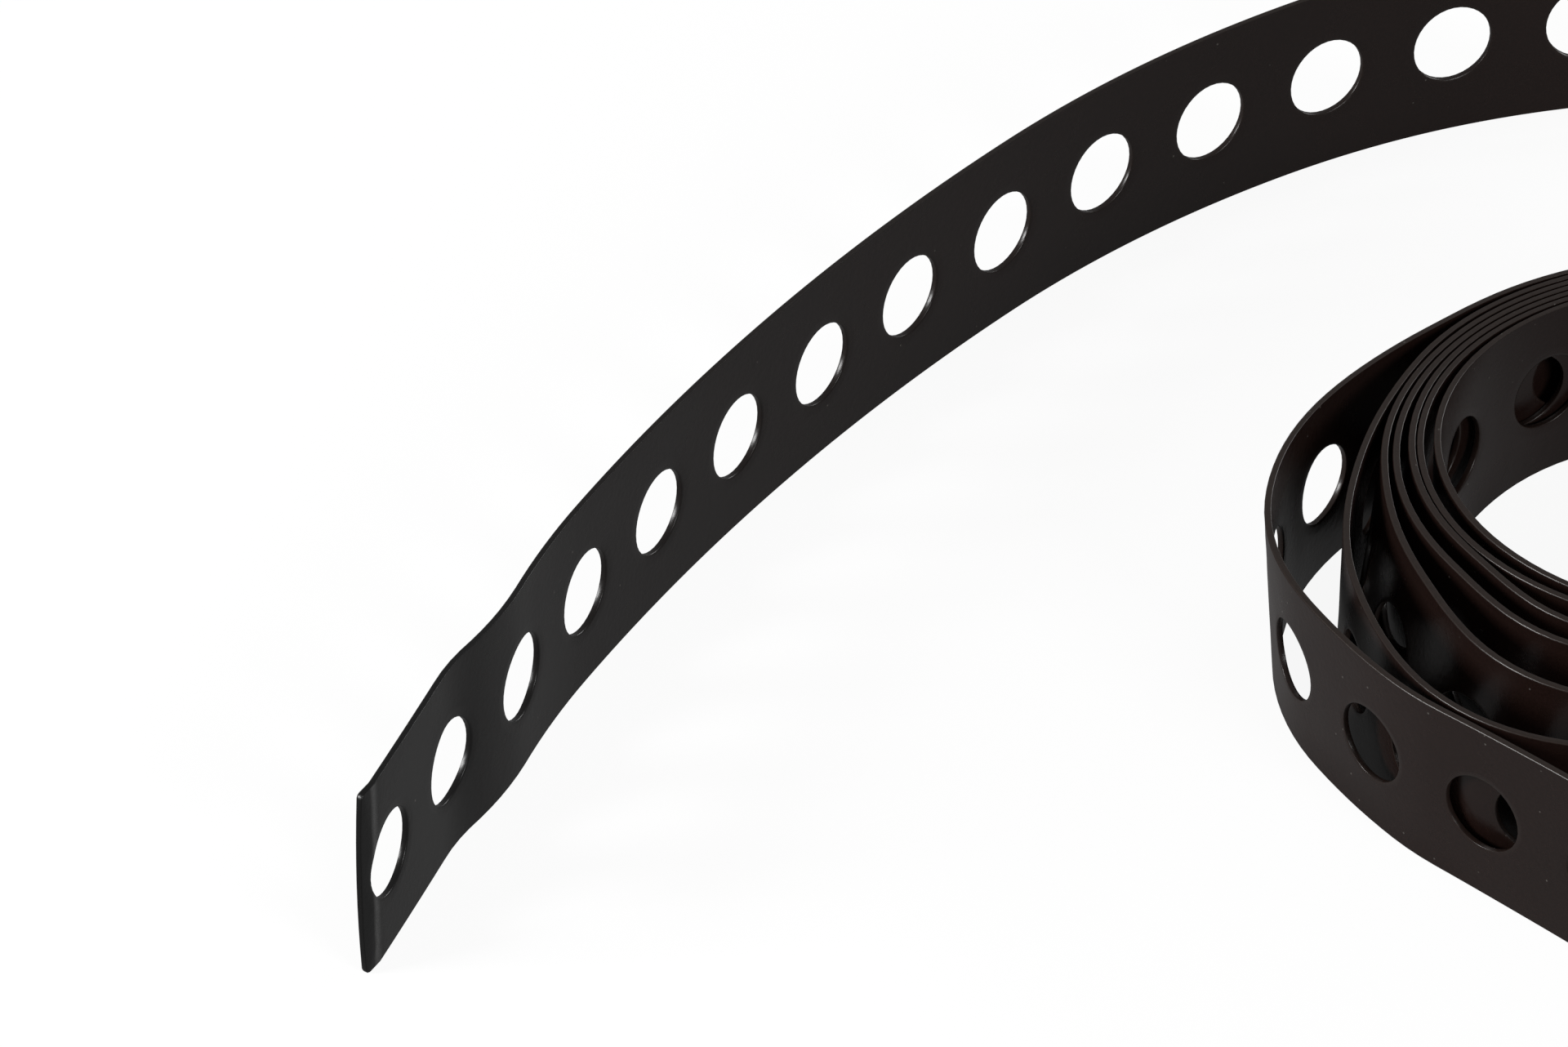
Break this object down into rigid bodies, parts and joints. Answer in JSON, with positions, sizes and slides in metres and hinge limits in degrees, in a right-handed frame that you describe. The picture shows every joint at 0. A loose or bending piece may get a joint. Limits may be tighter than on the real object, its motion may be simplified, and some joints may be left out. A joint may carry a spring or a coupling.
{
  "type": "perforated steel strap",
  "caption": "Narrow perforated steel fixing strap with a black coating, wound in a loose roll on its edge with a long free tail.",
  "frame": {"origin": "on the axis of the roll, at the level of the lower edge that it stands on", "axes": "+Z along the axis of the roll, upwards; +X to the right and +Y to the back as the picture shows it"},
  "size_m": [0.1728, 0.1277, 0.017],
  "materials": {
    "coated_steel": "satin black coating over steel, bare dust specks"
  },
  "bodies": {
    "root": {"strap": "coated_steel"}
  },
  "joints": []
}
